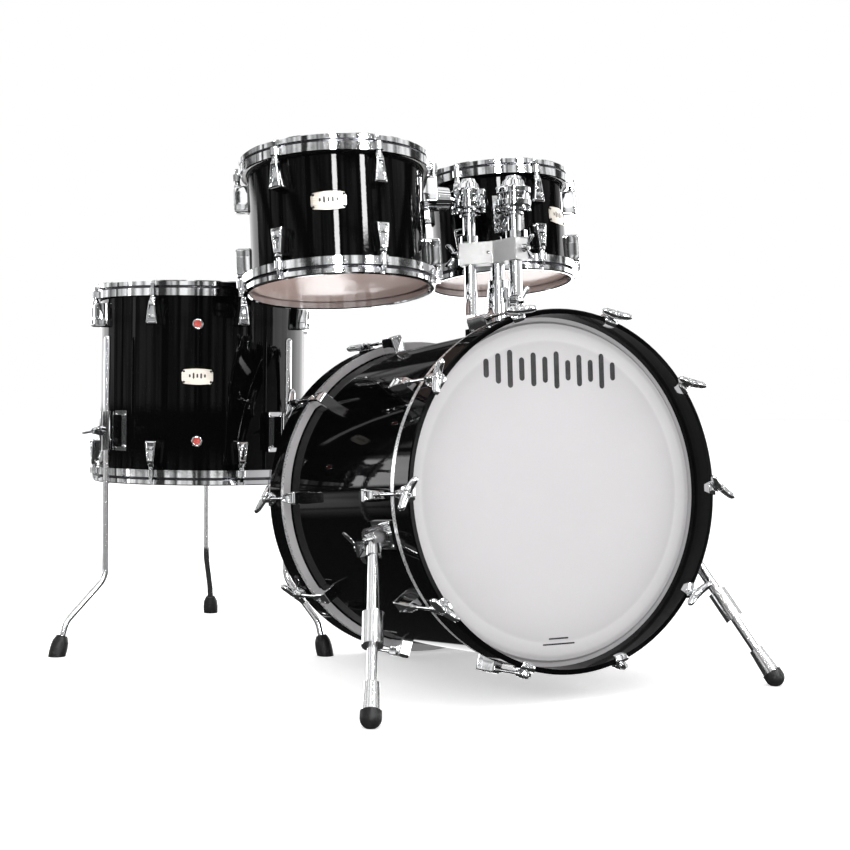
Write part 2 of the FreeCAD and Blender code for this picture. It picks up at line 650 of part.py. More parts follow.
def spur(side):
    """Folding spur: bracket, pivot head with its outer tube, telescoping leg, foot, wing bolt."""
    pivot, outward = spur_pivot(side)
    foot_point = Vector(SPUR_SIDES[side] * SPUR_FOOT.x, SPUR_FOOT.y, SPUR_TIP_HEIGHT)
    along = (foot_point - pivot).normalize()
    length = (foot_point - pivot).Length

    def at(distance):
        return pivot + along * distance

    head = cylinder(19, pivot - outward * SPUR_HEAD, pivot + outward * SPUR_HEAD)
    outer = cylinder(SPUR_TUBE_RADIUS, pivot, at(0.45 * length))
    sleeve = cylinder(SPUR_TUBE_RADIUS + 2.5, pivot, at(34))
    collar = cylinder(16.8, at(0.44 * length), at(0.62 * length))
    inside = cylinder(SPUR_LEG_RADIUS + RUN_FIT, at(24), at(length))
    pivot_hole = cylinder(4 + RUN_FIT, pivot - outward * 40, pivot + outward * 40)
    cap_room = cylinder(10, pivot + outward * SPUR_HEAD, pivot + outward * 40)
    tube_body = fused(head, outer, sleeve, collar).cut(inside).cut(pivot_hole).cut(cap_room)

    cone_end = at(length - 10)
    rod = cylinder(SPUR_LEG_RADIUS, at(100), cone_end)
    cone = Part.makeCone(12.3, 15, 46, at(length - 56), along)
    leg = fused(rod, cone)

    floor = Part.makeBox(200, 200, 100, foot_point + Vector(-100, -100, -100 - SPUR_TIP_HEIGHT))
    rubber = cylinder(SPUR_TIP_RADIUS, cone_end, foot_point)
    rubber = rubber.fuse(Part.makeSphere(SPUR_TIP_RADIUS, foot_point, along))
    rubber = rubber.cut(floor).cut(cylinder(SPUR_TIP_RADIUS + 5, at(length - 40), cone_end))
    rubber = rubber.removeSplitter()

    sunk = -SPUR_HEAD_GAP - 6
    bolt_y = -SPUR_SIDES[side] * SPUR_BOLT_DROP      # Y points down on the left and up on the right
    plate = Part.makeBox(66, 46, 14, Vector(-26, -23, sunk))
    boss = Part.makeCylinder(20, -SPUR_HEAD - FACE_GAP - sunk, Vector(0, 0, sunk))
    pin = Part.makeCylinder(4, SPUR_HEAD - sunk + 3, Vector(0, 0, sunk))
    cap = Part.makeCylinder(9, 4, Vector(0, 0, SPUR_HEAD + FACE_GAP))
    cheek = Part.makeBox(12, 24, SPUR_BOLT_RISE + 10 - sunk, Vector(23, bolt_y - 12, sunk))
    bolt_axis = Vector(0, bolt_y, SPUR_BOLT_RISE)
    bolt_hole = Part.makeCylinder(4 + RUN_FIT, 40, bolt_axis + Vector(10, 0, 0), Vector(1, 0, 0))
    shell = cylinder(BASS_RADIUS, bass_point(0, -300, 0), bass_point(0, 300, 0))
    casting = fused(plate, boss, pin, cap, cheek).cut(bolt_hole)
    back = bass_direction(0, 1, 0)
    frame = aimed(pivot, outward, back)
    bracket = placed(casting, frame).cut(shell)
    bolt_tip = frame.multVec(bolt_axis + Vector(18, 0, 0))
    wings_towards = bass_direction(SPUR_SIDES[side] * 0.6, 0, 0.8)
    bolt = wing_bolt(bolt_tip, back, wings_towards, 19, 4, 64, 26)
    name = "spur_" + side
    return bracket, {
        name + "_tube": tube_body,
        name + "_leg": leg,
        name + "_foot": rubber,
        name + "_wing_bolt": bolt,
    }


def spurs():
    nodes = {}
    brackets = []
    for side in SPUR_SIDES:
        bracket, pieces = spur(side)
        brackets.append(bracket)
        nodes.update(pieces)
    nodes["bass_spur_brackets"] = Part.makeCompound(brackets)
    return nodes


# ---- the kit --------------------------------------------------------------

def kit():
    nodes = {}
    nodes.update(bass_drum())
    nodes.update(tom_mount())
    nodes.update(spurs())
    nodes.update(holder())
    for side in RACK_TOMS:
        nodes.update(tom_arm(side))
        nodes.update(rack_tom(side))
    nodes.update(floor_tom())
    return nodes


def export(nodes):
    os.makedirs("parts", exist_ok=True)
    for node, shape in nodes.items():
        shape.translate(KIT_CENTRE * -1)
        shape.exportStep("parts/" + node + ".step")


export(kit())
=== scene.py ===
"""Looks of the acoustic drum kit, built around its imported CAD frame.  Metres, +Z up, audience on -Y."""
import json
import math

import bmesh
import bpy
from mathutils import Matrix, Vector


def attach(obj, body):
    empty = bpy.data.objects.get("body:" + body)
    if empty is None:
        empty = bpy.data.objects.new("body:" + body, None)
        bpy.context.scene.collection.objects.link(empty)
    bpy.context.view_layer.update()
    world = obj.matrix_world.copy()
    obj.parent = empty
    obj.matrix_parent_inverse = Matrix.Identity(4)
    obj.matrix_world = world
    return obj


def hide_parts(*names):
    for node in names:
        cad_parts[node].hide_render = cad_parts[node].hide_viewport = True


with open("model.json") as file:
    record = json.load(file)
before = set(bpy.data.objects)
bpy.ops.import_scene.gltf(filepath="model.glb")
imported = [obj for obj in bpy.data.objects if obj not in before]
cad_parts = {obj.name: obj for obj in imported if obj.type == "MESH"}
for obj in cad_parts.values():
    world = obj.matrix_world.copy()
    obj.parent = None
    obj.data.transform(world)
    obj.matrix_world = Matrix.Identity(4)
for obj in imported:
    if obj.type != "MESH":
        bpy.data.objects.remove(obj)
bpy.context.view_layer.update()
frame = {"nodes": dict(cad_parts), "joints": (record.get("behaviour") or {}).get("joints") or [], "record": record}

MM = 0.001
INCH = 25.4 * MM
UP = Vector((0, 0, 1))

# ---- where the drums stand (the CAD's own driving dimensions) ---------------

KIT_CENTRE = Vector((-128.4, 266.8, 0.0)) * MM
SHELL_UNDERSIZE = 3.8 * MM
BASS_TILT = math.radians(4.4)
BASS_HEIGHT = 314.5 * MM
BASS_RADIUS = (22 * INCH - SHELL_UNDERSIZE) / 2
BASS_HALF = 9 * INCH


def drum_matrix(centre, lean):
    """Drum's own frame: Z along its axis, turned the shortest way from upright."""
    turn = UP.rotation_difference(Vector(lean)).to_matrix().to_4x4()
    return Matrix.Translation(Vector(centre) * MM - KIT_CENTRE) @ turn


BASS = Matrix.Translation(Vector((0, 0, BASS_HEIGHT)) - KIT_CENTRE) @ Matrix.Rotation(
    math.pi / 2 - BASS_TILT, 4, "X")
# Each drum's middle in mm and the way it leans, its head size and its depth.
DRUMS = {
    "tom_left": {
        "matrix": drum_matrix((-273, 38, 773), (0, 0.128, 1)), "inches": 12, "depth": 8 * INCH},
    "tom_right": {
        "matrix": drum_matrix((100, 125, 799), (-0.015, 0.13, 1)), "inches": 10, "depth": 7 * INCH},
    "floor_tom": {
        "matrix": drum_matrix((-324, 560, 506), (0, 0, 1)), "inches": 16, "depth": 14 * INCH},
}
for drum in DRUMS.values():
    drum["radius"] = (drum["inches"] * INCH - SHELL_UNDERSIZE) / 2


# ---- node helpers -----------------------------------------------------------

class Nodes:
    """Short calls for adding and joining shader nodes in one tree."""

    def __init__(self, tree):
        self.tree = tree
        tree.nodes.clear()

    def add(self, kind, inputs=None, **settings):
        node = self.tree.nodes.new(kind)
        for name, value in settings.items():
            setattr(node, name, value)
        for name, value in (inputs or {}).items():
            if isinstance(value, bpy.types.NodeSocket):
                self.tree.links.new(value, node.inputs[name])
            else:
                node.inputs[name].default_value = value
        return node

    def math(self, operation, first, second=0.0):
        return self.add("ShaderNodeMath", {0: first, 1: second}, operation=operation).outputs[0]

    def blend(self, share, under, over):
        """Colour between two others, by share."""
        node = self.add("ShaderNodeMix", {"Factor": share, 6: under, 7: over}, data_type="RGBA")
        return node.outputs[2]

    def stripes(self, value, scale, detail):
        """Noise along one value."""
        node = self.add("ShaderNodeTexNoise", {
            "W": self.math("MULTIPLY", value, scale), "Scale": 1.0, "Detail": detail}, noise_dimensions="1D")
        return node.outputs["Fac"]

    def step(self, value, low, high):
        """0 below low, 1 above high, smooth between."""
        node = self.add("ShaderNodeMapRange", {"Value": value, "From Min": low, "From Max": high},
                        interpolation_type="SMOOTHSTEP")
        return node.outputs["Result"]

    def window(self, value, low, high, soft):
        """1 between low and high, 0 outside, with soft edges."""
        rise = self.step(value, low - soft, low + soft)
        fall = self.step(value, high + soft, high - soft)
        return self.math("MULTIPLY", rise, fall)

    def noise(self, vector, scale, detail, distortion=0.0):
        node = self.add("ShaderNodeTexNoise", {
            "Vector": vector, "Scale": scale, "Detail": detail, "Distortion": distortion})
        return node.outputs["Fac"]

    def ramp(self, value, stops):
        node = self.add("ShaderNodeValToRGB", {"Fac": value})
        elements = node.color_ramp.elements
        while len(elements) < len(stops):
            elements.new(0.5)
        for element, (position, colour) in zip(elements, stops):
            element.position = position
            element.color = (*colour, 1.0)
        return node.outputs["Color"]

    def place(self):
        """Point on the object, in metres."""
        return self.add("ShaderNodeTexCoord").outputs["Object"]

    def bump(self, height, distance):
        inputs = {"Height": height, "Distance": distance, "Strength": 1.0}
        return self.add("ShaderNodeBump", inputs).outputs["Normal"]


def material(name):
    made = bpy.data.materials.new(name)
    made.use_nodes = True
    return made, Nodes(made.node_tree)


def finish_surface(nodes, inputs):
    """Principled surface joined to the material's output."""
    surface = nodes.add("ShaderNodeBsdfPrincipled", inputs)
    nodes.add("ShaderNodeOutputMaterial", {"Surface": surface.outputs["BSDF"]})


# ---- materials --------------------------------------------------------------

def lacquer_material():
    """Piano-black gloss: deep black under a clear coat with slight orange peel and dust."""
    made, n = material("black_lacquer")
    place = n.place()
    peel = n.noise(place, 220.0, 3.0)
    slow = n.noise(place, 9.0, 2.0)
    dust = n.step(n.noise(place, 900.0, 4.0), 0.66, 0.74)
    height = n.math("ADD", n.math("MULTIPLY", peel, 0.35), slow)
    colour = n.ramp(dust, [(0.0, (0.002, 0.002, 0.0022)), (1.0, (0.012, 0.012, 0.013))])
    rough = n.math("ADD", n.math("MULTIPLY", dust, 0.12), 0.16)
    finish_surface(n, {
        "Base Color": colour, "Roughness": rough, "Specular IOR Level": 0.0,
        "Coat Weight": 0.45, "Coat Roughness": 0.012, "Coat IOR": 1.3,
        "Normal": n.bump(height, 0.00006), "Coat Normal": n.bump(height, 0.00005),
    })
    return made


def chrome_material(name, tone, waviness, roughness):
    """Polished chrome plate: waves of the casting below, faint polishing haze above."""
    made, n = material(name)
    place = n.place()
    waves = n.noise(place, 55.0, 2.0)
    haze = n.noise(place, 420.0, 4.0)
    low, high = roughness
    rough = n.add("ShaderNodeMapRange", {
        "Value": haze, "From Min": 0.3, "From Max": 0.7, "To Min": low, "To Max": high,
    }).outputs["Result"]
    shade = n.ramp(n.noise(place, 18.0, 3.0), [
        (0.35, tuple(c * 0.94 for c in tone)), (0.65, tone)])
    finish_surface(n, {
        "Base Color": shade, "Metallic": 1.0, "Roughness": rough,
        "Normal": n.bump(waves, waviness),
    })
    return made


def threaded_material():
    """Chromed steel of rods and screws, a little uneven."""
    made, n = material("threaded_steel")
    place = n.place()
    haze = n.noise(place, 500.0, 3.0)
    rough = n.math("ADD", n.math("MULTIPLY", haze, 0.10), 0.06)
    finish_surface(n, {
        "Base Color": (0.74, 0.75, 0.76, 1), "Metallic": 1.0, "Roughness": rough,
        "Normal": n.bump(n.noise(place, 90.0, 2.0), 0.0002),
    })
    return made


def aluminium_material():
    """Flesh hoop: rolled aluminium with lengthwise drawing marks."""
    made, n = material("rolled_aluminium")
    place = n.place()
    marks = n.noise(place, 260.0, 5.0, 0.4)
    rough = n.math("ADD", n.math("MULTIPLY", marks, 0.16), 0.20)
    finish_surface(n, {
        "Base Color": (0.86, 0.86, 0.87, 1), "Metallic": 0.75, "Roughness": rough,
        "Normal": n.bump(marks, 0.00006),
    })
    return made


def satin_material():
    """Bead-blasted casting: bright, soft and finely grained."""
    made, n = material("satin_casting")
    place = n.place()
    grain = n.noise(place, 1300.0, 3.0)
    tone = n.ramp(n.noise(place, 24.0, 3.0), [(0.3, (0.66, 0.66, 0.66)), (0.7, (0.78, 0.78, 0.78))])
    finish_surface(n, {
        "Base Color": tone, "Metallic": 0.45,
        "Roughness": n.math("ADD", n.math("MULTIPLY", grain, 0.15), 0.33),
        "Normal": n.bump(grain, 0.00008),
    })
    return made


def axis_distance(n, matrix):
    """Distance of the shaded point from a drum's axis."""
    centre = matrix.translation
    axis = matrix.to_3x3() @ UP
    offset = n.add("ShaderNodeVectorMath", {0: n.place(), 1: tuple(centre)}, operation="SUBTRACT")
    across = n.add("ShaderNodeVectorMath", {0: offset.outputs[0], 1: tuple(axis)},
                   operation="CROSS_PRODUCT")
    return n.add("ShaderNodeVectorMath", {0: across.outputs[0]}, operation="LENGTH").outputs["Value"]


def white_head_material(name, matrix, radius, tint):
    """Coated white film: fine sprayed grain, a clear border and a faint dampening ring."""
    made, n = material(name)
    place = n.place()
    grain = n.noise(place, 1500.0, 3.0)
    cloud = n.noise(place, 7.0, 3.0)
    distance = axis_distance(n, matrix)
    ring = n.window(distance, radius * 0.885, radius * 0.965, radius * 0.012)
    edge = n.window(distance, radius * 0.88, radius * 0.892, radius * 0.004)
    base = n.ramp(cloud, [(0.3, tuple(c * 0.975 for c in tint)), (0.7, tint)])
    pale = n.blend(n.math("MULTIPLY", ring, 0.35), base, (0.90, 0.89, 0.89, 1))
    lined = n.blend(n.math("MULTIPLY", edge, 0.10), pale, (0.45, 0.43, 0.45, 1))
    rough = n.math("ADD", n.math("MULTIPLY", grain, 0.15), 0.42)
    finish_surface(n, {
        "Base Color": lined, "Roughness": rough, "IOR": 1.45,
        "Normal": n.bump(grain, 0.00008),
    })
    return made


def clear_head_material():
    """Clear film: mostly see-through to the bare wood behind it, with a soft sheen; its warm pale pink base is
    painted light, the lit wood inside the shell painted onto the film itself.
    """
    made, n = material("clear_film")
    place = n.place()
    ripple = n.noise(place, 14.0, 2.0)
    # Painted light: the film's warm pale pink stands in for the bare wood inside the shell, lit through the top
    # head.
    film = n.add("ShaderNodeBsdfPrincipled", {
        "Base Color": (0.90, 0.70, 0.64, 1), "Roughness": 0.12, "IOR": 1.6,
        "Normal": n.bump(ripple, 0.0006),
    })
    see = n.add("ShaderNodeBsdfTransparent", {"Color": (0.98, 0.95, 0.94, 1)})
    mix = n.add("ShaderNodeMixShader", {0: 0.6, 1: see.outputs[0], 2: film.outputs[0]})
    n.add("ShaderNodeOutputMaterial", {"Surface": mix.outputs[0]})
    return made


def maple_material(name):
    """Bare ply inside a shell: pale maple with level grain."""
    made, n = material(name)
    stretched = n.add("ShaderNodeMapping", {"Vector": n.place(), "Scale": (6.0, 6.0, 90.0)})
    grain = n.noise(stretched.outputs[0], 4.0, 6.0, 0.6)
    pores = n.noise(stretched.outputs[0], 22.0, 3.0)
    colour = n.ramp(grain, [
        (0.30, (0.36, 0.17, 0.10)), (0.55, (0.50, 0.27, 0.17)), (0.75, (0.58, 0.34, 0.23))])
    rough = n.math("ADD", n.math("MULTIPLY", pores, 0.2), 0.3)
    finish_surface(n, {
        "Base Color": colour, "Roughness": rough, "Coat Weight": 0.3, "Coat Roughness": 0.2,
        "Normal": n.bump(pores, 0.0002),
    })
    return made


def rubber_material():
    """Moulded rubber: matt black with fine grain and pale scuffs."""
    made, n = material("moulded_rubber")
    place = n.place()
    grain = n.noise(place, 1100.0, 4.0)
    scuff = n.step(n.noise(place, 120.0, 5.0, 0.8), 0.58, 0.70)
    colour = n.ramp(scuff, [(0.0, (0.012, 0.012, 0.012)), (1.0, (0.035, 0.034, 0.033))])
    rough = n.math("ADD", n.math("MULTIPLY", grain, 0.2), 0.42)
    finish_surface(n, {
        "Base Color": colour, "Roughness": rough, "Specular IOR Level": 0.22,
        "Normal": n.bump(grain, 0.0002),
    })
    return made


def resin_material():
    """Dark moulded resin of the tom holder's balls."""
    made, n = material("resin_ball")
    grain = n.noise(n.place(), 700.0, 3.0)
    finish_surface(n, {
        "Base Color": (0.03, 0.03, 0.032, 1),
        "Roughness": n.math("ADD", n.math("MULTIPLY", grain, 0.2), 0.25),
        "Normal": n.bump(grain, 0.0001),
    })
    return made


def badge_material():
    """Champagne-coloured plate, brushed lengthwise."""
    made, n = material("brushed_badge")
    place = n.place()
    stretched = n.add("ShaderNodeMapping", {"Vector": place, "Scale": (30.0, 30.0, 1400.0)})
    brush = n.noise(stretched.outputs[0], 1.0, 4.0)
    colour = n.ramp(brush, [(0.3, (0.55, 0.50, 0.44)), (0.7, (0.74, 0.70, 0.63))])
    finish_surface(n, {
        "Base Color": colour, "Metallic": 0.75,
        "Roughness": n.math("ADD", n.math("MULTIPLY", brush, 0.25), 0.28),
        "Normal": n.bump(brush, 0.00005),
    })
    return made


def ink_and_hole_shade_material(name, colour):
    """Flat colour, slightly uneven, with a low sheen: printed ink, and the painted shade on the discs that close
    the vent holes.
    """
    made, n = material(name)
    patch = n.noise(n.place(), 300.0, 4.0)
    tone = n.ramp(patch, [(0.3, colour), (0.7, tuple(c * 1.5 + 0.004 for c in colour))])
    finish_surface(n, {
        "Base Color": tone, "Roughness": n.math("ADD", n.math("MULTIPLY", patch, 0.15), 0.35)})
    return made


CHROME = chrome_material("plated_chrome", (0.86, 0.87, 0.88), 0.00004, (0.035, 0.075))
CAST = chrome_material("cast_chrome", (0.84, 0.85, 0.86), 0.00007, (0.04, 0.09))
TUBE = chrome_material("tube_chrome", (0.93, 0.93, 0.94), 0.00002, (0.17, 0.23))
SHADED = chrome_material("shaded_chrome", (0.10, 0.10, 0.11), 0.00004, (0.15, 0.25))
STEEL = threaded_material()
LACQUER = lacquer_material()
ALUMINIUM = aluminium_material()
SATIN = satin_material()
RUBBER = rubber_material()
RESIN = resin_material()
CLEAR = clear_head_material()
BADGE = badge_material()
INK = ink_and_hole_shade_material("printed_ink", (0.006, 0.006, 0.007))
# Painted shade: the dark red disc over each vent hole stands in for the shaded inside of the shell seen through
# the hole.
VENT_HOLE_SHADE = ink_and_hole_shade_material("vent_painted_hole_shade", (0.42, 0.05, 0.035))
SLOT_MATERIALS = {
    "black_lacquered_shell": LACQUER,
    "black_lacquered_hoop": LACQUER,
    "cast_hoop_chrome": CAST,
    "cast_lug_chrome": CAST,
    "steel_rods": STEEL,
    "holder_chrome": CHROME,
    "clear_head_film": CLEAR,
    "foot_rubber": RUBBER,
    "ball_resin": RESIN,
}


# ---- finishes on the CAD's own meshes ---------------------------------------

def dress(node, finishes):
    """Gives a CAD node its materials; the first one is everywhere until faces are picked."""
    mesh = frame["nodes"][node].data
    mesh.materials.clear()
    for finish in finishes:
        mesh.materials.append(finish)
    for face in mesh.polygons:
        face.material_index = 0
    return mesh


def radial_parts(matrix, face):
    """Face's distance from the drum's axis, its place along it, and its normal's outward share."""
    inverse = matrix.inverted()
    centre = inverse @ face.center
    normal = inverse.to_3x3() @ face.normal
    radius = math.hypot(centre.x, centre.y)
    outward = (centre.x * normal.x + centre.y * normal.y) / max(radius, 1e-9)
    return radius, centre.z, outward


def dress_shell(node, matrix):
    """Lacquer outside, bare maple inside and on the bearing edges."""
    mesh = dress(node, [LACQUER, maple_material(node + "_maple")])
    for face in mesh.polygons:
        _, _, outward = radial_parts(matrix, face)
        if outward < 0.5:
            face.material_index = 1


def dress_head(node, matrix, radius, film):
    """Film over the bearing edge and the flesh hoop's face, aluminium round the hoop's outside."""
    mesh = dress(node, [film, ALUMINIUM])
    film_edge = radius + 0.6 * MM
    for face in mesh.polygons:
        distance, _, outward = radial_parts(matrix, face)
        if distance > film_edge and abs(outward) > 0.5:
            face.material_index = 1


# Where a cast hoop's groove lies, in mm: out from the shell's face, and on from the shell's end.
GROOVE_OUT = (6.0, 10.0)
GROOVE_ALONG = (-1.6, 3.6)


def dress_cast_hoops(node, matrix, radius, half):
    """Polished plate, darker in the groove between the skirt and the lip where light hardly reaches."""
    mesh = dress(node, [CAST, SHADED])
    for face in mesh.polygons:
        distance, along, _ = radial_parts(matrix, face)
        out = (distance - radius) / MM
        beyond = (abs(along) - half) / MM
        if GROOVE_OUT[0] < out < GROOVE_OUT[1] and GROOVE_ALONG[0] < beyond < GROOVE_ALONG[1]:
            face.material_index = 1


for subpart in frame["record"]["subparts"]:
    finish = SLOT_MATERIALS.get(subpart["material_slot"])
    if finish is not None:
        dress(subpart["node"], [finish])

dress("holder_clamp", [SATIN])
for side in ("left", "right"):
    dress(f"spur_{side}_tube", [TUBE])
    dress(f"spur_{side}_leg", [TUBE])
for side in ("left", "right", "rear"):
    dress(f"floor_leg_{side}_rod", [TUBE])

FRONT_HEAD = white_head_material("front_head_film", BASS, BASS_RADIUS, (0.59, 0.58, 0.59))
dress_shell("bass_shell", BASS)
dress_head("bass_front_head", BASS, BASS_RADIUS, FRONT_HEAD)
dress_head("bass_batter_head", BASS, BASS_RADIUS, FRONT_HEAD)
for name, drum in DRUMS.items():
    place = (drum["matrix"], drum["radius"])
    coated = white_head_material(name + "_coated_film", *place, (0.82, 0.82, 0.81))
    dress_shell(name + "_shell", drum["matrix"])
    dress_cast_hoops(name + "_hoops", *place, drum["depth"] / 2)
    if name == "floor_tom":
        dress_head(name + "_heads", *place, coated)
    else:
        dress_head(name + "_batter_head", *place, coated)
        dress_head(name + "_resonant_head", *place, CLEAR)


# ---- mesh helpers -----------------------------------------------------------

def add_piece(name, mesh_data, finish, body, smooth=True):
    """New object from a bmesh, dressed, and riding on a CAD body."""
    mesh = bpy.data.meshes.new(name)
    mesh_data.to_mesh(mesh)
    mesh_data.free()
    mesh.materials.append(finish)
    if smooth:
        mesh.shade_smooth()
    piece = bpy.data.objects.new(name, mesh)
    bpy.context.scene.collection.objects.link(piece)
    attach(piece, body)
    return piece


def lathe(profile, matrix, segments):
    """Surface of revolution about the matrix's Z from (radius, height) points in mm."""
    made = bmesh.new()
    rings = []
    for radius, height in profile:
        ring = []
        for i in range(segments if radius > 0 else 1):
            turn = 2 * math.pi * i / segments
            point = Vector((radius * math.cos(turn), radius * math.sin(turn), height)) * MM
            ring.append(made.verts.new(matrix @ point))
        rings.append(ring)
    for low, high in zip(rings, rings[1:]):
        for i in range(segments):
            j = (i + 1) % segments
            corners = []
            for corner in (low[i % len(low)], low[j % len(low)], high[j % len(high)], high[i % len(high)]):
                if corner not in corners:
                    corners.append(corner)
            if len(corners) > 2:
                made.faces.new(corners)
    bmesh.ops.recalc_face_normals(made, faces=made.faces)
    return made


def surface_matrix(matrix, radius, angle, height):
    """Frame on a drum's outside: X round the drum, Y along its axis, Z outwards."""
    turn = math.radians(angle)
    outward = Vector((math.cos(turn), math.sin(turn), 0))
    around = Vector((-math.sin(turn), math.cos(turn), 0))
    local = Matrix((around, UP, outward)).transposed().to_4x4()
    local.translation = outward * radius + UP * height
    return matrix @ local


def bent_plate(outline, radius, thickness, matrix):
    """Plate bent to a drum: outline is (across, half height) points, radius the drum's."""
    made = bmesh.new()
    layers = []
    for lift in (0.0, thickness):
        rows = []
        for across, half in outline:
            turn = across / radius
            reach = radius + lift
            x = reach * math.sin(turn)
            z = reach * math.cos(turn) - radius
            rows.append([made.verts.new(matrix @ Vector((x, side * half, z))) for side in (-1, 1)])
        layers.append(rows)
    under, over = layers
    for i in range(len(outline) - 1):
        made.faces.new((over[i][0], over[i + 1][0], over[i + 1][1], over[i][1]))
        made.faces.new((under[i][0], under[i][1], under[i + 1][1], under[i + 1][0]))
        for side in (0, 1):
            made.faces.new((under[i][side], under[i + 1][side], over[i + 1][side], over[i][side]))
    for end in (0, -1):
        made.faces.new((under[end][0], under[end][1], over[end][1], over[end][0]))
    bmesh.ops.recalc_face_normals(made, faces=made.faces)
    return made


BAR_END_STEPS = 6
OVAL_STEPS = 16


def rounded_bar(width, height, thickness, matrix):
    """Flat bar with round ends, standing along the matrix's Y."""
    made = bmesh.new()
    outline = []
    half = width / 2
    straight = max(height / 2 - half, 0)
    for end in (1, -1):
        for i in range(BAR_END_STEPS + 1):
            turn = math.pi * i / BAR_END_STEPS
            outline.append((end * half * math.cos(turn), end * (straight + half * math.sin(turn))))
    low = [made.verts.new(matrix @ Vector((x, y, 0))) for x, y in outline]
    high = [made.verts.new(matrix @ Vector((x, y, thickness))) for x, y in outline]
    made.faces.new(high)
    made.faces.new(list(reversed(low)))
    for i in range(len(outline)):
        j = (i + 1) % len(outline)
        made.faces.new((low[i], low[j], high[j], high[i]))
    bmesh.ops.recalc_face_normals(made, faces=made.faces)
    return made


def merged(parts):
    """One bmesh from several."""
    whole = bmesh.new()
    for part in parts:
        mesh = bpy.data.meshes.new("part")
        part.to_mesh(mesh)
        part.free()
        whole.from_mesh(mesh)
        bpy.data.meshes.remove(mesh)
    return whole


def lofted(sections):
    """Closed solid through rings of points, all with the same number of them, capped at both ends."""
    made = bmesh.new()
    rings = [[made.verts.new(point) for point in section] for section in sections]
    count = len(rings[0])
    for low, high in zip(rings, rings[1:]):
        for i in range(count):
            j = (i + 1) % count
            made.faces.new((low[i], low[j], high[j], high[i]))
    made.faces.new(list(reversed(rings[0])))
    made.faces.new(rings[-1])
    bmesh.ops.recalc_face_normals(made, faces=made.faces)
    return made


def oval_loft(stations, matrix):
    """Solid along the matrix's X through ovals: (across, rise, half height, half thickness) in mm."""
    sections = []
    for across, rise, half_height, half_thickness in stations:
        ring = []
        for i in range(OVAL_STEPS):
            turn = 2 * math.pi * i / OVAL_STEPS
            point = Vector((across, half_thickness * math.cos(turn), rise + half_height * math.sin(turn)))
            ring.append(matrix @ (point * MM))
        sections.append(ring)
    return lofted(sections)


def aimed(place, axis, towards):
    """Frame with Z along the axis and X as near as it can be to a direction."""
    z = axis.normalized()
    x = (towards - z * towards.dot(z)).normalized()
    turn = Matrix((x, z.cross(x), z)).transposed().to_4x4()
    return Matrix.Translation(place) @ turn


def round_edges(piece, angle, width):
    """Bevel of a width in mm wherever faces meet more sharply than the angle."""
    bevel = piece.modifiers.new("rounded_edges", "BEVEL")
    bevel.width = width * MM
    bevel.segments = 2
    bevel.limit_method = "ANGLE"
    bevel.angle_limit = math.radians(angle)
    return bevel


def stand_in(name, parts, finish, body, node, angle, width):
    """Piece shown in place of a CAD node: its edges are rounded and its flat faces stay flat."""
    piece = add_piece(name, merged(parts), finish, body)
    round_edges(piece, angle, width).harden_normals = True
    piece.data.set_sharp_from_angle(angle=math.radians(angle))
    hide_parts(node)


# ---- lugs -------------------------------------------------------------------

# Width of the rim round a lug's panels and of its rounded edge, how far the lug stands out past the
# rod's axis and how far it is sunk into the shell, in mm.
LUG_RAIL = 2.6
LUG_EDGE = 1.3
LUG_PAST_ROD = 6.5
LUG_SINK = 2.5
LUG_CONE = ((0, -8), (6.2, -8), (6.4, 0), (5.6, 3.5), (4.6, 4.5), (4.6, 8), (3.9, 12), (3.3, 13.5), (0, 13.5))
# Height down the lug as a share of its length, width's share of the way from narrow to wide,
# outward step back and depth of the sunk panel, in mm.
LUG_SECTIONS = (
    (0.0, 0.0, 4.0, 0.0), (0.04, 0.05, 1.2, 0.0), (0.10, 0.1, 0.0, 0.0), (0.20, 0.2, 0.0, 0.0),
    (0.23, 0.25, 0.0, 3.4), (0.60, 0.65, 0.0, 3.8), (0.63, 0.7, 0.0, 0.4), (0.72, 0.8, 0.0, 0.4),
    (0.75, 0.82, 0.0, 2.6), (0.88, 0.95, 0.0, 2.6), (0.91, 0.97, 0.0, 0.0), (0.96, 1.0, 0.8, 0.0),
    (1.0, 0.86, 4.0, 0.0),
)


def lug_parts(matrix, radius, near, rod_offset, length, widths):
    """One lug at angle 0: framed, tapered body with sunk panels, and a cone round the rod."""
    narrow, wide = widths
    reach = radius / MM + rod_offset + LUG_PAST_ROD
    foot = radius / MM - LUG_SINK
    sections = []
    for share, spread, back, sunk in LUG_SECTIONS:
        half = (narrow + (wide - narrow) * spread) / 2
        outer = reach - back
        inner = half - LUG_EDGE - LUG_RAIL
        height = near / MM - share * length
        half_outline = [
            (half, foot), (half, outer - 2.4), (half - LUG_EDGE * 0.4, outer - 0.7),
            (half - LUG_EDGE, outer), (inner + 0.8, outer), (inner, outer - sunk)]
        outline = half_outline + [(-across, out) for across, out in reversed(half_outline)]
        sections.append([matrix @ (Vector((out, across, height)) * MM) for across, out in outline])
    axis = matrix @ Matrix.Translation((radius + rod_offset * MM, 0, near))
    return [lofted(sections), lathe(LUG_CONE, axis, 20)]


def lugs(name, body, matrix, radius, depth, angles, rod_offset, inset, length, widths):
    """A lug at each angle round both ends of a drum."""
    parts = []
    for end in (matrix, matrix @ Matrix.Rotation(math.pi, 4, "X")):
        for angle in angles:
            turned = end @ Matrix.Rotation(math.radians(angle), 4, "Z")
            parts += lug_parts(turned, radius, depth / 2 - inset * MM, rod_offset, length, widths)
    stand_in(name + "_cast_lugs", parts, CAST, body, name + "_lugs", 35, 0.35)


TOM_LUG = {"rod_offset": 17.0, "inset": 24.0, "length": 46.0, "widths": (12.0, 22.0)}
BASS_LUG = {"rod_offset": 24.5, "inset": 40.0, "length": 52.0, "widths": (13.0, 22.0)}
LUG_COUNTS = {"tom_left": 6, "tom_right": 6, "floor_tom": 8}
BASS_LUG_ANGLES = [36 * i for i in range(10)]

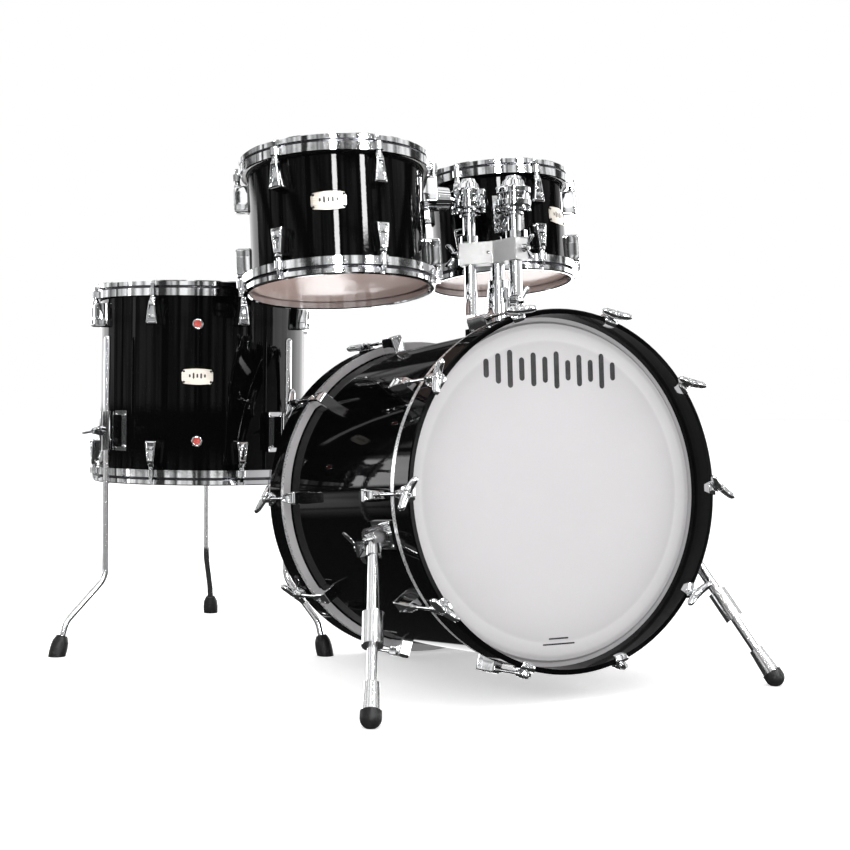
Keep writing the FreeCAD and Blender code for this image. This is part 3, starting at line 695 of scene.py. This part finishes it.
for name, drum in DRUMS.items():
    around = [90 + 360 * i / LUG_COUNTS[name] for i in range(LUG_COUNTS[name])]
    lugs(name, name, drum["matrix"], drum["radius"], drum["depth"], around, **TOM_LUG)
lugs("bass", "bass_drum", BASS, BASS_RADIUS, 2 * BASS_HALF, BASS_LUG_ANGLES, **BASS_LUG)


# ---- bass drum claws and rods -----------------------------------------------

HOOP_INNER = BASS_RADIUS / MM + 8.5
HOOP_OUTER = HOOP_INNER + 8.5
HOOP_FRONT = BASS_HALF / MM + 46.4
ROD_AXIS = BASS_RADIUS / MM + BASS_LUG["rod_offset"]
EYE_FRONT = HOOP_FRONT + 1.0
# How far each T-handle is turned from square to its radius, by its place round the drum.
HANDLE_TURNS = {0: 50, 36: 42, 72: 8, 108: -12, 144: 24, 180: -30, 216: 18, 324: -18}
# Claw's strap from the lip behind the hoop's inner edge, over the front, to the tail:
# (radius, height, half width, thickness) in mm.
CLAW_STRAP = (
    (HOOP_INNER - 2.6, HOOP_FRONT - 11, 6.0, 1.6),
    (HOOP_INNER - 2.8, HOOP_FRONT - 4, 8.0, 2.4),
    (HOOP_INNER - 1.6, HOOP_FRONT + 0.8, 10.0, 2.8),
    (HOOP_INNER + 2.0, HOOP_FRONT + 2.2, 12.0, 3.0),
    (HOOP_OUTER - 3.0, HOOP_FRONT + 2.2, 13.0, 3.0),
    (HOOP_OUTER + 0.6, HOOP_FRONT + 1.0, 13.5, 3.0),
    (HOOP_OUTER + 1.6, HOOP_FRONT - 3, 13.5, 2.6),
    (HOOP_OUTER + 1.4, HOOP_FRONT - 20, 11.0, 2.2),
    (HOOP_OUTER + 1.3, HOOP_FRONT - 34, 6.0, 1.8),
)
STRAP_EDGE = 1.2
# Turned parts on the rod's axis, as (radius, height) in mm from the claw's eye.
CLAW_EYE = (
    (4.0, -27), (5.2, -26), (5.8, -18), (7.0, -15), (7.2, -6), (6.6, -5), (6.6, -3), (7.4, -2),
    (7.4, 0), (3.6, 0),
)
HANDLE_HUB = (
    (0, -80), (3, -80), (3, 0), (5.6, 0), (5.9, 3), (6.4, 5), (6.4, 10), (5.0, 12.5), (2.5, 13.6),
    (0, 13.8),
)
KEY_SHAFT = ((0, -80), (3, -80), (3, 0), (5.2, 0), (5.4, 0.8), (5.2, 2), (3.8, 2.2), (0, 2.2))
# (height, half width) up the square key head.
KEY_HEAD = ((2.0, 3.0), (2.6, 3.2), (9.0, 3.2), (9.9, 2.6))
# One lever of a T-handle: (across, rise, half height, half thickness) in mm.
HANDLE_LEVER = (
    (3, 8.0, 6.4, 7.4), (9, 8.8, 6.0, 6.8), (15, 10.2, 6.2, 6.4), (21, 12.0, 6.6, 6.2),
    (26, 13.4, 5.6, 5.0), (29, 14.0, 2.6, 2.2),
)


def strap(path, matrix):
    """Bent strap with rounded sides along (radius, height, half width, thickness) stations."""
    sections = []
    for i, (radius, height, half, thickness) in enumerate(path):
        before = path[max(i - 1, 0)]
        after = path[min(i + 1, len(path) - 1)]
        along = Vector((after[0] - before[0], 0, after[1] - before[1])).normalized()
        out = Vector((-along.z, 0, along.x)) * (thickness / 2)
        side = Vector((0, half, 0))
        near = Vector((0, half - STRAP_EDGE, 0))
        middle = Vector((radius, 0, height))
        ring = [
            middle + out - near, middle + out + near, middle + out * 0.5 + side, middle - out * 0.5 + side,
            middle - out + near, middle - out - near, middle - out * 0.5 - side, middle + out * 0.5 - side,
        ]
        sections.append([matrix @ (point * MM) for point in ring])
    return lofted(sections)


def handle_parts(seat, turn):
    """Winged T-handle: domed hub and two levers that sweep forward to thin tips."""
    parts = [lathe(HANDLE_HUB, seat, 20)]
    for side in (90, 270):
        parts.append(oval_loft(HANDLE_LEVER, seat @ Matrix.Rotation(math.radians(turn + side), 4, "Z")))
    return parts


def key_rod_parts(seat):
    """Short rod with a washer and a square key head."""
    head = []
    for height, half in KEY_HEAD:
        corners = ((-half, -half), (half, -half), (half, half), (-half, half))
        head.append([seat @ (Vector((x, y, height)) * MM) for x, y in corners])
    return [lathe(KEY_SHAFT, seat, 20), lofted(head)]


def bass_fasteners():
    """Claws round both ends, with a winged or a square-headed rod through each."""
    claws = []
    rods = []
    mirror = Matrix.Scale(-1, 4, UP)
    for end in (BASS, BASS @ mirror):
        for angle in BASS_LUG_ANGLES:
            turned = end @ Matrix.Rotation(math.radians(angle), 4, "Z")
            seat = turned @ Matrix.Translation(Vector((ROD_AXIS, 0, EYE_FRONT)) * MM)
            claws += [strap(CLAW_STRAP, turned), lathe(CLAW_EYE, seat, 24)]
            if angle in HANDLE_TURNS:
                rods += handle_parts(seat, HANDLE_TURNS[angle])
            else:
                rods += key_rod_parts(seat)
    stand_in("bass_cast_claws", claws, CAST, "bass_drum", "bass_claws", 40, 0.3)
    stand_in("bass_rods_and_handles", rods, CHROME, "bass_drum", "bass_tension_rods", 50, 0.2)


bass_fasteners()


# ---- wing bolts -------------------------------------------------------------

BASS_TURN = BASS.to_3x3()


def bass_direction(x, along, up):
    """A direction given across, along towards the back, and above the bass drum's axis."""
    return BASS_TURN @ Vector((x, up, -along))


def hinge(name):
    """Place and axis of a joint, in metres."""
    found = [joint for joint in frame["joints"] if joint["name"] == name][0]
    return Vector(found["pos_m"]), Vector(found["axis"])


def winged_bolt(joint, body, node, towards, hub_start, shank, span, rise):
    """Threaded shank, turned hub and two oval lobes; sizes in mm, hub_start from the joint's place."""
    place, axis = hinge(joint)
    matrix = aimed(place, axis, towards) @ Matrix.Translation((0, 0, hub_start * MM))
    hub = [(0, -shank), (3.6, -shank), (4, -shank + 1), (4, -1), (6.2, -1), (7.4, 0), (7.4, 3), (6.6, 4),
           (6.6, 10), (5.4, 12), (0, 12.4)]
    parts = [lathe(hub, matrix, 24)]
    half = span / 2
    lobe = [
        (3, 6.5, 4.4, 3.2),
        (0.32 * half, 5 + 0.25 * rise, 4.2, 2.6),
        (0.52 * half, 4 + 0.42 * rise, 0.26 * rise, 2.4),
        (0.76 * half, 3 + 0.62 * rise, 0.31 * rise, 2.4),
        (0.93 * half, 3 + 0.70 * rise, 0.24 * rise, 2.0),
        (half, 3 + 0.72 * rise, 0.10 * rise, 0.9),
    ]
    for side in (0, math.pi):
        parts.append(oval_loft(lobe, matrix @ Matrix.Rotation(side, 4, "Z")))
    stand_in(node + "_cast", parts, CAST, body, node, 50, 0.2)


winged_bolt("mount_wing_bolt_turn", "mount_wing_bolt", "holder_mount_wing_bolt",
            bass_direction(0, 0, 1), 11.8, 19, 50, 20)
for side, sign in (("left", -1), ("right", 1)):
    winged_bolt(f"clamp_wing_{side}_turn", f"clamp_wing_{side}", f"holder_clamp_wing_{side}",
                bass_direction(0, 0.35, 1), 0.3, 9, 44, 22)
    winged_bolt(f"spur_{side}_wing_turn", f"spur_{side}_wing", f"spur_{side}_wing_bolt",
                bass_direction(sign * 0.6, 0, 0.8), 7, 19, 64, 26)
for side in ("left", "right", "rear"):
    _, axis = hinge(f"floor_leg_{side}_wing_turn")
    winged_bolt(f"floor_leg_{side}_wing_turn", f"floor_leg_{side}_wing", f"floor_leg_{side}_wing_bolt",
                UP.cross(axis) + UP * 0.2, 5.3, 14, 50, 18)


# ---- screws -----------------------------------------------------------------

Z_TO_X = Matrix.Rotation(math.pi / 2, 4, "Y")
Z_TO_Y = Matrix.Rotation(-math.pi / 2, 4, "X")
# Domed head with a socket: (radius, height) for a head of radius 1.
SCREW_HEAD = ((0, 0.15), (0.40, 0.15), (0.46, 0.62), (0.72, 0.60), (0.94, 0.36), (1.0, 0.05), (1.0, -0.4))
# Bolt of a ball housing, head and nut in one outline, in mm.
HOUSING_BOLT = (
    (0, -25), (3.4, -25), (3.8, -23.5), (3.8, -19), (2.4, -19), (2.4, 13), (3.9, 13), (3.9, 16),
    (2.8, 17.8), (0, 18),
)
HOUSING_BOLT_CIRCLE = 26.4
# Each tom's bracket: degrees round the shell, and height above its middle in mm.
TOM_BRACKETS = {"left": (349, 53), "right": (246, 8)}


def screw_parts(matrix, spots, radius, facing=Matrix.Identity(4)):
    """Screw heads at each spot (mm), standing the way the facing turns Z."""
    head = [(r * radius, z * radius) for r, z in SCREW_HEAD]
    return [lathe(head, matrix @ Matrix.Translation(Vector(spot) * MM) @ facing, 20) for spot in spots]


def screws(name, body, parts):
    add_piece(name + "_screws", merged(parts), STEEL, body)


def tom_bracket_screws(side):
    angle, height = TOM_BRACKETS[side]
    drum = DRUMS["tom_" + side]
    matrix = drum["matrix"] @ Matrix.Rotation(math.radians(angle), 4, "Z")
    face = drum["radius"] / MM + 7
    spots = [(face, across, height - 34) for across in (-15, 15)]
    screws("tom_" + side + "_bracket", "tom_" + side, screw_parts(matrix, spots, 4.2, Z_TO_X))


def housing_bolts(side):
    """Six clamp bolts through the two flanges of a ball housing."""
    place, _ = hinge(f"tom_{side}_tilt")
    _, towards = hinge(f"tom_{side}_roll")
    matrix = aimed(place, bass_direction(0, 0, 1), towards)
    out = Matrix.Translation((HOUSING_BOLT_CIRCLE * MM, 0, 0))
    bolts = []
    for i in range(6):
        turn = Matrix.Rotation(math.radians(30 + 60 * i), 4, "Z")
        bolts.append(lathe(HOUSING_BOLT, matrix @ turn @ out, 16))
    add_piece(f"arm_{side}_housing_bolts", merged(bolts), CHROME, f"arm_{side}")


def spur_screws(side, sign):
    """Two screws in a spur's bracket and the cap of its pivot."""
    place, axis = hinge(f"spur_{side}_fold")
    outward = axis if axis.x * sign > 0 else -axis
    matrix = aimed(place, outward, bass_direction(0, 1, 0))
    spots = [(-21, -18, -18), (-21, 18, -18)]
    screws(f"spur_{side}_bracket", "bass_drum", screw_parts(matrix, spots, 3.6))
    spots = [(0, 0, 17.4)]
    screws(f"spur_{side}_pivot", "bass_drum", screw_parts(matrix, spots, 5.0))


def mount_screws():
    """Four screws through the tom mount's base plate."""
    post_axis = bass_direction(0, 0, 1)
    place = BASS @ Vector((0, 0, 71 * MM))
    matrix = aimed(place, post_axis, bass_direction(1, 0, 0))
    top = BASS_RADIUS / MM + 10
    spots = [(x, y, top) for x in (-33, 33) for y in (-37, 37)]
    screws("tom_mount", "bass_drum", screw_parts(matrix, spots, 4.5))


def floor_bracket_screws():
    """Four screws through each leg bracket's plate."""
    parts = []
    for side in ("left", "right", "rear"):
        place, axis = hinge(f"floor_leg_{side}_wing_turn")
        matrix = aimed(place - axis * 15 * MM, UP, axis)
        spots = [(-33, across, rise) for across in (-13.2, 13.2) for rise in (-30, 30)]
        parts += screw_parts(matrix, spots, 3.2, Z_TO_X)
    screws("floor_leg_brackets", "floor_tom", parts)


def clamp_screw():
    """The screw in the front of the holder's clamp block."""
    place, _ = hinge("holder_swivel")
    _, heading = hinge("clamp_wing_left_turn")
    matrix = aimed(place, bass_direction(0, 0, 1), heading)
    screws("holder_clamp", "holder", screw_parts(matrix, [(14, 16, 0)], 3.0, Z_TO_Y))


for side in TOM_BRACKETS:
    tom_bracket_screws(side)
for side, sign in (("left", -1), ("right", 1)):
    housing_bolts(side)
    spur_screws(side, sign)
mount_screws()
floor_bracket_screws()
clamp_screw()


# ---- castings and tubes from the CAD ----------------------------------------

# Rounded edges, in mm, on the CAD's own nodes.
CAD_EDGES = {
    "holder_clamp": 1.6, "holder_post_lock": 0.8, "bass_tom_mount": 1.6, "bass_spur_brackets": 1.4,
    "floor_tom_leg_brackets": 1.0, "tom_left_bracket": 1.2, "tom_right_bracket": 1.2,
    "arm_left_lock": 0.8, "arm_right_lock": 0.8, "arm_left_tube": 0.7, "arm_right_tube": 0.7,
    "spur_left_tube": 0.7, "spur_right_tube": 0.7, "spur_left_leg": 0.5, "spur_right_leg": 0.5,
    "tom_left_hoops": 0.5, "tom_right_hoops": 0.5, "floor_tom_hoops": 0.5, "bass_hoops": 0.6,
}
for node, width in CAD_EDGES.items():
    round_edges(frame["nodes"][node], 40, width)


# ---- badges and vents -------------------------------------------------------

BADGE_WIDTH = 58 * MM
BADGE_HEIGHT = 30 * MM
BADGE_THICKNESS = 1.0 * MM
# Bars on a badge: their heights as a share of the tallest, and their sizes.
BADGE_BARS = (0.55, 1.0, 0.72, 0.9, 0.6)
BADGE_BAR_STEP = 7.0 * MM
BADGE_BAR_WIDTH = 3.4 * MM
BADGE_BAR_HEIGHT = 11 * MM
BADGE_PIN = ((2.3, 0), (2.3, 1.4), (1.5, 2.1), (0, 2.3))
PRINT_LIFT = 0.15 * MM
VENT_RING = ((6.6, -1), (6.6, 0.8), (7.2, 2.0), (8.4, 2.4), (10.2, 1.2), (10.6, -0.6))
# Disc closing the vent hole, which carries the painted shade of the shell's inside, as (radius, height) in mm.
VENT_SHADE_DISC = ((6.8, 0.9), (4.0, 0.5), (0, 0.3))


def round_the_drum(matrix, radius, across, up, lift):
    """Frame moved round a drum from one on its outside, then up its axis and off its face."""
    to_axis = matrix @ Matrix.Translation((0, up, -radius))
    return to_axis @ Matrix.Rotation(across / radius, 4, "Y") @ Matrix.Translation((0, 0, radius + lift))


def badge(name, body, drum, angle, height):
    """Barrel-shaped plate with four pins and a row of plain bars."""
    matrix = surface_matrix(drum["matrix"], drum["radius"], angle, height)
    half = BADGE_WIDTH / 2
    tall = BADGE_HEIGHT / 2
    ends = [(-1.0, 0.50), (-0.93, 0.66), (-0.90, 0.86)]
    crown = [-0.8 + 0.1 * i for i in range(17)]
    middle = [(x, 0.9 + 0.1 * math.cos(x * math.pi / 1.6)) for x in crown]
    shape = ends + middle + [(-x, y) for x, y in reversed(ends)]
    outline = [(x * half, y * tall) for x, y in shape]
    plate = bent_plate(outline, drum["radius"], BADGE_THICKNESS, matrix)
    add_piece(name + "_badge", plate, BADGE, body, smooth=False)
    pins = []
    for x in (-0.86, 0.86):
        for y in (-0.66, 0.66):
            spot = round_the_drum(matrix, drum["radius"], x * half, y * tall, 0)
            pins.append(lathe(BADGE_PIN, spot, 12))
    add_piece(name + "_badge_pins", merged(pins), INK, body)
    bars = []
    for i, share in enumerate(BADGE_BARS):
        across = (i - (len(BADGE_BARS) - 1) / 2) * BADGE_BAR_STEP
        spot = round_the_drum(matrix, drum["radius"], across, 1.5 * MM, BADGE_THICKNESS)
        bars.append(rounded_bar(BADGE_BAR_WIDTH, BADGE_BAR_HEIGHT * share, PRINT_LIFT, spot))
    add_piece(name + "_badge_bars", merged(bars), INK, body, smooth=False)


def vent(name, body, drum, angle, height):
    """Metal grommet round an air hole, with a dark red disc over the hole: painted shade, the shaded inside of the
    shell seen through it.
    """
    matrix = surface_matrix(drum["matrix"], drum["radius"], angle, height)
    add_piece(name + "_ring", lathe(VENT_RING, matrix, 40), CHROME, body)
    # Painted shade: a disc over the hole, coloured as the shaded inside of the shell.
    add_piece(name + "_painted_hole_shade", lathe(VENT_SHADE_DISC, matrix, 32), VENT_HOLE_SHADE, body)


badge("tom_left", "tom_left", DRUMS["tom_left"], 240, 7 * MM)
badge("tom_right", "tom_right", DRUMS["tom_right"], 300, 6 * MM)
badge("floor_tom", "floor_tom", DRUMS["floor_tom"], 247.5, 12 * MM)
vent("floor_tom_upper_vent", "floor_tom", DRUMS["floor_tom"], 247.5, 110 * MM)
vent("floor_tom_lower_vent", "floor_tom", DRUMS["floor_tom"], 247.5, -109 * MM)


# ---- print on the bass drum's front head ------------------------------------

FILM_FACE = BASS_HALF + 0.5 * MM
# The bars' heights as a share of the tallest, then their spacing, size and level, in mm.
MARK_BARS = (0.5, 0.8, 1.0, 0.62, 0.9, 0.7, 1.0, 0.55, 0.85, 0.6, 0.95, 0.5)
MARK_STEP = 22.5
MARK_WIDTH = 10
MARK_HEIGHT = 62
MARK_LEVEL = 199
# Length and level of each thin line.
PRINT_LINES = ((38, -240), (62, -249))
PRINT_LINE_WIDTH = 2.6


def front_print():
    """Row of plain upright bars high on the head, and two thin lines low on it."""
    bars = []
    for i, share in enumerate(MARK_BARS):
        across = (i - (len(MARK_BARS) - 1) / 2) * MARK_STEP
        spot = BASS @ Matrix.Translation((across * MM, MARK_LEVEL * MM, FILM_FACE))
        bars.append(rounded_bar(MARK_WIDTH * MM, MARK_HEIGHT * share * MM, PRINT_LIFT, spot))
    level_turn = Matrix.Rotation(math.pi / 2, 4, "Z")
    for length, level in PRINT_LINES:
        spot = BASS @ Matrix.Translation((0, level * MM, FILM_FACE)) @ level_turn
        bars.append(rounded_bar(PRINT_LINE_WIDTH * MM, length * MM, PRINT_LIFT, spot))
    add_piece("front_head_print", merged(bars), INK, "bass_drum", smooth=False)


front_print()


# ---- floor, light and camera ------------------------------------------------

FLOOR_SIZE = 40.0


def floor():
    """Plain pale floor."""
    made = bmesh.new()
    bmesh.ops.create_grid(made, x_segments=1, y_segments=1, size=FLOOR_SIZE)
    mesh = bpy.data.meshes.new("floor")
    made.to_mesh(mesh)
    made.free()
    pale, n = material("pale_floor")
    tone = n.ramp(n.noise(n.place(), 3.0, 3.0), [(0.3, (0.93, 0.93, 0.93)), (0.7, (0.95, 0.95, 0.95))])
    finish_surface(n, {
        "Base Color": tone, "Roughness": 0.9, "Specular IOR Level": 0.1,
        "Emission Color": (1, 1, 1, 1), "Emission Strength": 0.5,
    })
    mesh.materials.append(pale)
    piece = bpy.data.objects.new("floor", mesh)
    bpy.context.scene.collection.objects.link(piece)
    piece.visible_glossy = False


# Bright panels of the studio, as mirrors and lacquer see them:
# (middle azimuth and half width, lowest and highest elevation, all in degrees, strength)
PANELS = (
    (-117.0, 3.0, 13, 23.2, 110.0),
    (-79.0, 3.2, 20.3, 58, 110.0),
    (-63.0, 1.6, -6, 8, 3.0),
    (168.0, 2.0, -6, 8, 3.0),
    (92.0, 28.0, -0.5, 8, 5.5),
    (50.0, 15.3, -34, -8, 3.0),
    (15.0, 40.0, -4, 12, 4.2),
)
PANEL_SOFTNESS = 0.6
# How bright the room is where there is no panel, in reflections, and what matt surfaces get.
WALL_LIGHT = 0.85
CEILING_LIGHT = 1.2
ROOM_LIGHT = 0.035
MATT_LIGHT = 0.8


def studio_world():
    """Pale to the eye and to matt surfaces; a dark room with bright panels in reflections."""
    world = bpy.data.worlds.new("studio")
    bpy.context.scene.world = world
    world.use_nodes = True
    n = Nodes(world.node_tree)
    way = n.add("ShaderNodeTexCoord").outputs["Generated"]
    split = n.add("ShaderNodeSeparateXYZ", {"Vector": way})
    to_degrees = math.degrees(1.0)
    azimuth = n.math("MULTIPLY", n.math("ARCTAN2", split.outputs["Y"], split.outputs["X"]), to_degrees)
    elevation = n.math("MULTIPLY", n.math("ARCSINE", split.outputs["Z"]), to_degrees)
    bars = n.stripes(azimuth, 0.075, 2.0)
    rows = n.stripes(elevation, 0.35, 1.0)
    blotches = n.noise(way, 9.0, 2.0)
    walls = n.math("MULTIPLY", n.step(bars, 0.41, 0.49), n.window(elevation, -8.0, 30.0, 3.0))
    shade = n.math("MULTIPLY", n.step(rows, 0.36, 0.52), n.math("ADD", n.step(blotches, 0.35, 0.65), 0.35))
    walls = n.math("MULTIPLY", walls, shade)
    patches = n.step(n.noise(way, 6.0, 2.0), 0.44, 0.52)
    ceiling = n.math("MULTIPLY", n.step(elevation, 24.0, 34.0), patches)
    light = n.math("ADD", n.math("MULTIPLY", walls, WALL_LIGHT), n.math("MULTIPLY", ceiling, CEILING_LIGHT))
    for middle, half, low, high, strength in PANELS:
        across = n.window(azimuth, middle - half, middle + half, PANEL_SOFTNESS)
        upright = n.window(elevation, low, high, PANEL_SOFTNESS)
        light = n.math("ADD", light, n.math("MULTIPLY", n.math("MULTIPLY", across, upright), strength))
    room = n.math("ADD", light, ROOM_LIGHT)
    mirrored = n.add("ShaderNodeBackground", {"Color": (1, 1, 1, 1), "Strength": room})
    matt = n.add("ShaderNodeBackground", {"Color": (1, 1, 1, 1), "Strength": MATT_LIGHT})
    seen = n.add("ShaderNodeBackground", {"Color": (1, 1, 1, 1), "Strength": 1.0})
    path = n.add("ShaderNodeLightPath")
    first = n.add("ShaderNodeMixShader", {
        0: path.outputs["Is Glossy Ray"], 1: matt.outputs[0], 2: mirrored.outputs[0]})
    both = n.add("ShaderNodeMixShader", {
        0: path.outputs["Is Camera Ray"], 1: first.outputs[0], 2: seen.outputs[0]})
    n.add("ShaderNodeOutputWorld", {"Surface": both.outputs[0]})


def softbox(name, place, target, size, power):
    """Large soft lamp that lights matt surfaces and isn't seen in mirrors."""
    data = bpy.data.lights.new(name, "AREA")
    data.shape = "RECTANGLE"
    data.size, data.size_y = size
    data.energy = power
    lamp = bpy.data.objects.new(name, data)
    lamp.location = place
    lamp.rotation_euler = (Vector(target) - Vector(place)).to_track_quat("-Z", "Y").to_euler()
    lamp.visible_glossy = False
    bpy.context.scene.collection.objects.link(lamp)


CAMERA_PLACE = Vector((-1325.0, -2231.0, 470.0)) * MM - KIT_CENTRE
CAMERA_YAW = math.radians(28.4)
CAMERA_PITCH = math.radians(-0.78)
CAMERA_ROLL = 0.012
CAMERA_LENS = 61.9


def camera():
    ahead = Vector((
        math.sin(CAMERA_YAW) * math.cos(CAMERA_PITCH),
        math.cos(CAMERA_YAW) * math.cos(CAMERA_PITCH),
        math.sin(CAMERA_PITCH)))
    level = Vector((math.cos(CAMERA_YAW), -math.sin(CAMERA_YAW), 0))
    above = level.cross(ahead)
    right = level * math.cos(CAMERA_ROLL) + above * math.sin(CAMERA_ROLL)
    top = above * math.cos(CAMERA_ROLL) - level * math.sin(CAMERA_ROLL)
    data = bpy.data.cameras.new("camera")
    data.lens = CAMERA_LENS
    data.sensor_width = 36
    made = bpy.data.objects.new("camera", data)
    turn = Matrix((right, top, -ahead)).transposed().to_4x4()
    made.matrix_world = Matrix.Translation(CAMERA_PLACE) @ turn
    bpy.context.scene.collection.objects.link(made)
    bpy.context.scene.camera = made


floor()
studio_world()
softbox("key_light", (-2.6, -3.2, 2.6), (0, 0, 0.5), (2.0, 2.0), 25)
softbox("fill_light", (2.6, -2.4, 1.6), (0, 0, 0.4), (2.0, 2.0), 12)
softbox("top_light", (0, 0.4, 4.0), (0, 0, 0), (4.0, 4.0), 70)
camera()
bpy.context.scene.view_settings.view_transform = "Standard"
